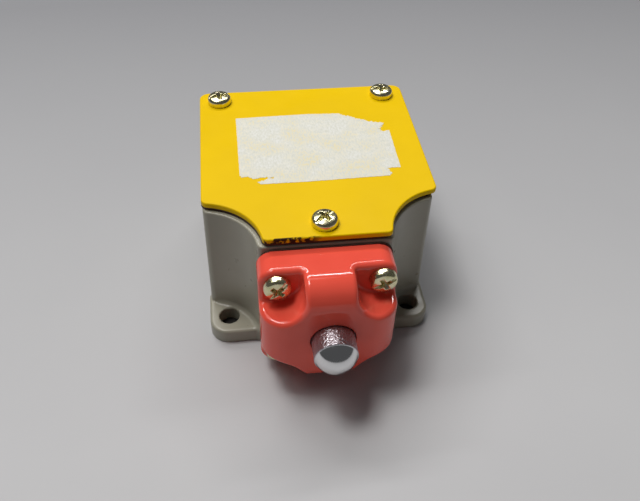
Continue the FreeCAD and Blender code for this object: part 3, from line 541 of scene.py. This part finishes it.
# %% Head
HEAD_ROLL = 7.3
HEAD_CORNER = 4.5
POCKET_WALL_ACROSS = 6.7
POCKET_WALL_UP = 7.9
POCKET_ROUND = 7.0
LOW_POCKET_ROUND = 10.0
POCKET_FLOOR = -17.2
SCREW_ACROSS = 13.9
SCREW_UP = 13.0
RIM_ROUND = 1.35
PLUNGER_BORE = 6.1
SEAL_GROOVE, SEAL_FRONT, SEAL_BACK = 7.6, -24.6, -22.0
BUSH_BORE, BUSH_FRONT = 8.0, -22.1
HEAD_SCREW_HOLE = 2.2


def pocket_depth(u, v, corner):
    """Across the axis: distance to a corner pocket, negative inside it."""
    a, b = u - POCKET_WALL_ACROSS - corner, v - POCKET_WALL_UP - corner
    near_wall = np.hypot(np.minimum(a, 0), np.minimum(b, 0))
    return near_wall - corner - np.maximum(np.minimum(a, b), 0)


CORE_SHIFT_X, CORE_SHIFT_Z = -0.5, -0.45


def head_distance(x, y, z):
    half = (HEAD_HIGH[0] - HEAD_LOW[0]) / 2
    u, v = np.abs(x - CORE_SHIFT_X), np.abs(z - AXIS_Z - CORE_SHIFT_Z)
    front = HEAD_LOW[1] - y
    rolled = np.maximum(rounded_max(v - half, front, HEAD_ROLL), rounded_max(u - half, front, HEAD_ROLL))
    block = np.maximum(rolled, rounded_max(u - half, v - half, HEAD_CORNER))
    block = rounded_max(block, y - HEAD_HIGH[1], 0.3)
    corner = np.where(z > AXIS_Z, POCKET_ROUND, LOW_POCKET_ROUND)
    pockets = rounded_max(pocket_depth(u, v, corner), y - POCKET_FLOOR, 1.0)
    cast = rounded_max(block, -pockets, RIM_ROUND)
    from_axis = np.hypot(x, z - AXIS_Z)
    cast = rounded_max(cast, PLUNGER_BORE - from_axis, 0.22)
    cast = np.maximum(cast, -np.maximum(from_axis - SEAL_GROOVE, between(y, SEAL_FRONT, SEAL_BACK)))
    cast = np.maximum(cast, -np.maximum(from_axis - BUSH_BORE, BUSH_FRONT - y))
    from_screw = np.hypot(np.abs(x) - SCREW_ACROSS, np.abs(z - AXIS_Z) - SCREW_UP)
    return np.maximum(cast, HEAD_SCREW_HOLE - from_screw)


head = carve("head_casting", head_distance, HEAD_LOW, HEAD_HIGH, 0.45)
wear(head, FINISHES["head_paint"])
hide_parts("head")
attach(head, "case")


# %% [markdown]
# ## Housing
#
# A box with its two front corners hollowed by big cylinders, and an ear standing in each hollow. The
# fillet between ear and wall fades out towards the flat sides, where the two surfaces run into one
# plane and a fillet would raise a ridge.

# %% Housing
CORNER_X, CORNER_Y, CORNER_RADIUS = 34.6, -10.0, 16.4
EAR_TOP = 4.9
EAR_FRONT = -6.4
EAR_REAR = 9.5
EAR_SIDE = HOUSING_HIGH[0]
EAR_HOLE_X = 27.5
BODY_SIDE = 32.3
DRAFT = 0.012
WALL = 3.0
FLOOR_TOP = 3.5
CHEST_BACK = 1.1
MOUNT_HOLE = 3.0
COVER_SCREW_X, COVER_SCREW_Y, FRONT_SCREW_Y = 26.24, 56.3, -3.6
BLOCK_SCREW_X, BLOCK_SCREW_Y = 16.0, 20.5
REAR_HOLE_X, REAR_HOLE_Y = 18.0, 45.5
EARTH_Y = 42.3


def outer_casting(x, y, z):
    top = HOUSING_HIGH[2]
    side = BODY_SIDE + DRAFT * (top - z)
    u = np.abs(x)
    hollow = np.hypot(u - CORNER_X, y - CORNER_Y) - CORNER_RADIUS
    plan = rounded_max(u - side, y - HOUSING_HIGH[1], 3.0)
    plan = rounded_max(plan, HOUSING_LOW[1] - y, 0.5)
    plan = rounded_max(plan, -hollow, 1.5)
    tall = rounded_max(plan, z - top, 0.45)
    ears = rounded_max(rounded_max(u - EAR_SIDE, EAR_FRONT - y, 5.5), y - EAR_REAR, 0.8)
    ears = rounded_max(ears, z - EAR_TOP, 0.8)
    fade = np.clip((BODY_SIDE - u) / 2.5, 0.1, 1.0)
    joined = filleted_min(tall, ears, 1.6 * fade)
    return rounded_max(joined, -z, 0.3)


def cavity(x, y, z):
    u = np.abs(x)
    inside = np.maximum(u - BODY_SIDE + WALL, between(y, CHEST_BACK, HOUSING_HIGH[1] - WALL))
    inner = np.hypot(u - CORNER_X, y - CORNER_Y) - CORNER_RADIUS - WALL
    inside = rounded_max(rounded_max(inside, -inner, 1.0), FLOOR_TOP - z, 1.0)
    posts = [
        (np.hypot(u - COVER_SCREW_X, y - COVER_SCREW_Y) - 4.6, 60.0),
        (np.hypot(u - BLOCK_SCREW_X, y - BLOCK_SCREW_Y) - 4.0, 7.5),
        (np.hypot(u - REAR_HOLE_X, y - REAR_HOLE_Y) - 5.8, 6.0),
        (np.hypot(x, y - EARTH_Y) - 4.2, 8.0),
    ]
    for around, height in posts:
        inside = rounded_max(inside, -rounded_max(around, z - height, 0.3), 0.8)
    collar = np.maximum(np.hypot(x, z - AXIS_Z) - 13.6, 50.0 - y)
    return rounded_max(inside, -collar, 0.8)


def drilled(x, y, z):
    """The threads and passages of the casting, joined as one distance."""
    u, around = np.abs(x), np.hypot(x, z - AXIS_Z)
    holes = [
        np.hypot(u - EAR_HOLE_X, y) - MOUNT_HOLE,
        np.hypot(u - REAR_HOLE_X, y - REAR_HOLE_Y) - MOUNT_HOLE,
        np.maximum(np.hypot(x, y - FRONT_SCREW_Y) - 2.0, 32.4 - z),
        np.maximum(np.hypot(u - COVER_SCREW_X, y - COVER_SCREW_Y) - 2.0, 31.0 - z),
        np.maximum(np.hypot(x, y - EARTH_Y) - 1.95, 2.5 - z),
        np.maximum(np.hypot(u - BLOCK_SCREW_X, y - BLOCK_SCREW_Y) - 1.5, 2.4 - z),
        np.maximum(around - 7.6, y + 3.9),
        np.maximum(around - 2.8, y - 5.0),
        np.maximum(around - 10.2, 51.5 - y),
        np.maximum(around - 8.0, 49.0 - y),
        np.maximum(np.hypot(u - SCREW_ACROSS, np.abs(z - AXIS_Z) - SCREW_UP) - 2.0, y + 0.6),
    ]
    return np.minimum.reduce(holes)


def housing_distance(x, y, z):
    open_box = rounded_max(outer_casting(x, y, z), -np.maximum(cavity(x, y, z), z - 60.0), 0.4)
    return rounded_max(open_box, -drilled(x, y, z), 0.3)


housing = carve("housing_casting", housing_distance, HOUSING_LOW, HOUSING_HIGH, 0.6)
wear(housing, FINISHES["housing_paint"])
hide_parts("housing")
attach(housing, "case")


# %% [markdown]
# ## Screws
#
# Seven pan heads with a cross recess that a plain driver fits as well: a cross that tapers as it goes
# down, and a shallow slot right across. The head is a low dome on a tall rim. One screw is carved,
# standing on its own head's underside, and is copied to every place with its own turn, because no two
# screws stop at the same angle.

# %% Pan heads
SCREW_RADIUS = 3.7
SCREW_TALL = 2.7
SHANK_RADIUS = 1.95


def pan_head(length):
    def distance(x, y, z):
        around = np.hypot(x, y)
        dome = np.sqrt(x ** 2 + y ** 2 + (z - SCREW_TALL + 11.0) ** 2) - 11.0
        taper = around - SCREW_RADIUS + 0.05 * z
        top = rounded_max(taper, dome, 0.75)
        head_part = rounded_max(top, -z, 0.15)
        depth = SCREW_TALL - z
        arm = 0.62 - 0.16 * depth
        reach = 2.15 - 0.62 * depth
        ax, ay = np.abs(x), np.abs(y)
        cross = np.minimum(np.maximum(ax - arm, ay - reach), np.maximum(ay - arm, ax - reach))
        cross = np.maximum(np.minimum(cross, around - 1.05 + 0.45 * depth), depth - 2.1)
        slot = np.maximum(ay - 0.42, SCREW_TALL - 0.75 - z)
        head_part = rounded_max(head_part, -np.minimum(cross, slot), 0.1)
        shank = rounded_max(np.maximum(around - SHANK_RADIUS, z - 0.5), -z - length, 0.4)
        return np.minimum(head_part, shank)
    return distance


def screws(name, node_name, length, places, facing):
    """Copies of one screw, joined into one piece, each turned about its own axis by its own angle."""
    single = carve(name, pan_head(length), (-SCREW_RADIUS, -SCREW_RADIUS, -length),
                   (SCREW_RADIUS, SCREW_RADIUS, SCREW_TALL), 0.17, merge_flat=False)
    master = single.data
    points = np.array([v.co for v in master.vertices])
    faces = [tuple(p.vertices) for p in master.polygons]
    all_points, all_faces = [], []
    for place, turn in places:
        spin = Matrix.Rotation(math.radians(turn), 3, "Z")
        matrix = np.array(facing @ spin)
        all_faces += [tuple(i + len(all_points) for i in face) for face in faces]
        all_points += list(points @ matrix.T + np.array(place) * MM)
    bpy.data.objects.remove(single)
    obj = mesh_from(name, all_points, all_faces)
    wear(obj, FINISHES["zinc_steel"])
    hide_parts(node_name)
    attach(obj, "case")
    return obj


upright = Matrix.Identity(3)
forward = Matrix.Rotation(math.radians(90), 3, "X")
cover_z = COVER_HIGH[2]
screws("cover_screw_set", "cover_screws", 10.0,
       [((0.0, FRONT_SCREW_Y, cover_z), 38),
        ((-COVER_SCREW_X, COVER_SCREW_Y, cover_z), 12),
        ((COVER_SCREW_X, COVER_SCREW_Y, cover_z), -8)], upright)
screws("head_screw_set", "head_screws", 16.0,
       [((-SCREW_ACROSS, POCKET_FLOOR, AXIS_Z + SCREW_UP), 48),
        ((SCREW_ACROSS, POCKET_FLOOR, AXIS_Z + SCREW_UP), 28),
        ((-SCREW_ACROSS, POCKET_FLOOR, AXIS_Z - SCREW_UP), 70),
        ((SCREW_ACROSS, POCKET_FLOOR, AXIS_Z - SCREW_UP), 15)], forward)


# %% [markdown]
# ## Torn label
#
# A paper label was peeled off the cover and left its lower layer behind. Paper tears along its
# fibres, so the torn sides are ragged at two sizes: long tongues, and a fine fringe on them. The cut
# sides stay straight. The outline is a list of corners in millimetres on the cover, each with how
# ragged the side after it is. The remnant is blank.

# %% Label
LABEL_THICK = 0.07
LABEL_CORNERS = [
    ((-21.5, 46.6), 0.04), ((0.6, 47.1), 0.08), ((10.9, 46.6), 0.45), ((17.0, 43.2), 0.6),
    ((24.2, 40.2), 0.35), ((23.0, 38.9), 0.5), ((23.6, 38.1), 0.5), ((21.9, 37.2), 0.5),
    ((22.3, 36.2), 0.3), ((25.2, 36.4), 0.05), ((25.0, 17.8), 0.12), ((20.9, 17.7), 0.3),
    ((21.9, 15.9), 0.25), ((21.3, 14.4), 0.05), ((-3.0, 13.8), 0.06), ((-15.9, 13.9), 0.2),
    ((-16.7, 14.9), 0.5), ((-13.0, 16.3), 0.5), ((-12.0, 16.9), 0.4), ((-17.2, 16.4), 0.5),
    ((-21.2, 17.3), 0.35), ((-21.5, 18.0), 0.04),
]


def ragged_outline(corners, step, seed):
    """Points along the outline, pushed sideways by smooth random steps, then by a fine fringe."""
    luck = np.random.default_rng(seed)
    outline = []
    for index, (start, raggedness) in enumerate(corners):
        start, end = np.array(start), np.array(corners[(index + 1) % len(corners)][0])
        count = max(2, int(np.linalg.norm(end - start) / step))
        along = (end - start) / np.linalg.norm(end - start)
        across = np.array([-along[1], along[0]])
        coarse = np.convolve(luck.normal(size=count + 8), np.ones(5) / 5, "same")[4:-4]
        fringe = luck.normal(size=count) * 0.25
        fade = np.sin(np.linspace(0, np.pi, count + 1)[:-1]) ** 0.5
        for part in range(count):
            push = raggedness * (1.6 * coarse[part] + fringe[part]) * fade[part]
            outline.append(start + (end - start) * part / count + across * push)
    return outline


def paper():
    f = Finish("paper").set(Specular_IOR_Level=0.2, Roughness=0.85)
    fibre = f.noise(0.55, 4.0, 0.6, f.stretched((1.0, 0.45, 1.0)))
    cloudy = f.mix(f.remap(fibre, 0.35, 0.65), (0.68, 0.68, 0.60), (0.80, 0.80, 0.76))
    thin = f.math("MULTIPLY", f.remap(f.noise(7.0, 3.0), 0.40, 0.62), f.remap(fibre, 0.44, 0.60))
    stained = f.mix(f.math("MULTIPLY", thin, 0.55), cloudy, (0.80, 0.66, 0.26))
    f.colour(stained)
    f.bump(fibre, 0.03)
    return f.material


outline = ragged_outline(LABEL_CORNERS, 0.16, 7)
shape = bmesh.new()
ring = [shape.verts.new((x * MM, y * MM, (COVER_HIGH[2] + LABEL_THICK) * MM)) for x, y in outline]
top = shape.faces.new(ring)
if top.normal.z < 0:
    top.normal_flip()
skirt = bmesh.ops.extrude_edge_only(shape, edges=list(top.edges))
for vert in [v for v in skirt["geom"] if isinstance(v, bmesh.types.BMVert)]:
    vert.co.z = (COVER_HIGH[2] - 0.01) * MM
bmesh.ops.triangulate(shape, faces=[top])
bmesh.ops.recalc_face_normals(shape, faces=shape.faces)
label_mesh = bpy.data.meshes.new("label")
shape.to_mesh(label_mesh)
shape.free()
label = new_object("torn_label", label_mesh)
wear(label, paper())
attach(label, "case")
print("label: %d points" % len(label.data.vertices))


# %% [markdown]
# ## Springs
#
# When the plunger is pushed in, its springs shorten. A coil drawn as a tube of wire around a helix can
# be squeezed along its own axis, as long as the end that rests against something stays where it is.
# The last number of each spring is the share of its length that is left at the joint's limit. Here each
# coil is only drawn at its resting length: the joint, the held end and that share are listed but not read.

# %% Springs
def coil(name, radius, wire, start, end, turns, sides=12, per_turn=40):
    """A spring on an axis along Y: the helix runs between its two ground ends."""
    first, last = start + wire / 2, end - wire / 2
    count = int(turns * per_turn) + 1
    angle = np.linspace(0, 2 * np.pi * turns, count)
    spine = np.stack([radius * np.cos(angle), np.linspace(first, last, count),
                      AXIS_Z + radius * np.sin(angle)], axis=1)
    outward = np.stack([np.cos(angle), np.zeros(count), np.sin(angle)], axis=1)
    sideways = np.array([0.0, 1.0, 0.0])
    points = []
    for centre, out_way in zip(spine, outward):
        for turn in np.linspace(0, 2 * np.pi, sides, endpoint=False):
            points.append(centre + wire / 2 * (np.cos(turn) * out_way + np.sin(turn) * sideways))
    faces = []
    for i in range(count - 1):
        for j in range(sides):
            k = (j + 1) % sides
            faces.append((i * sides + j, i * sides + k, (i + 1) * sides + k, (i + 1) * sides + j))
    faces.append(tuple(range(sides))[::-1])
    faces.append(tuple((count - 1) * sides + j for j in range(sides)))
    return mesh_from(name, np.array(points) * MM, faces)


SPRINGS = [
    ("return_spring", "case", 6.75, 0.7, 3.5, "plunger_slide", "high", 0.34),
    ("overtravel_spring", "plunger_unit", 2.5, 0.6, 6.0, "plunger_slide", "low", 0.79),
    ("carrier_spring", "case", 2.4, 0.6, 5.0, "contact_slide", "high", 0.647),
]
for node_name, body, radius, wire, turns, joint, held, keep in SPRINGS:
    low, high = box_mm(node_name)
    spring = coil(node_name + "_wire", radius, wire, low[1], high[1], turns)
    wear(spring, FINISHES["spring_steel"])
    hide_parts(node_name)
    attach(spring, body)
    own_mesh(spring)
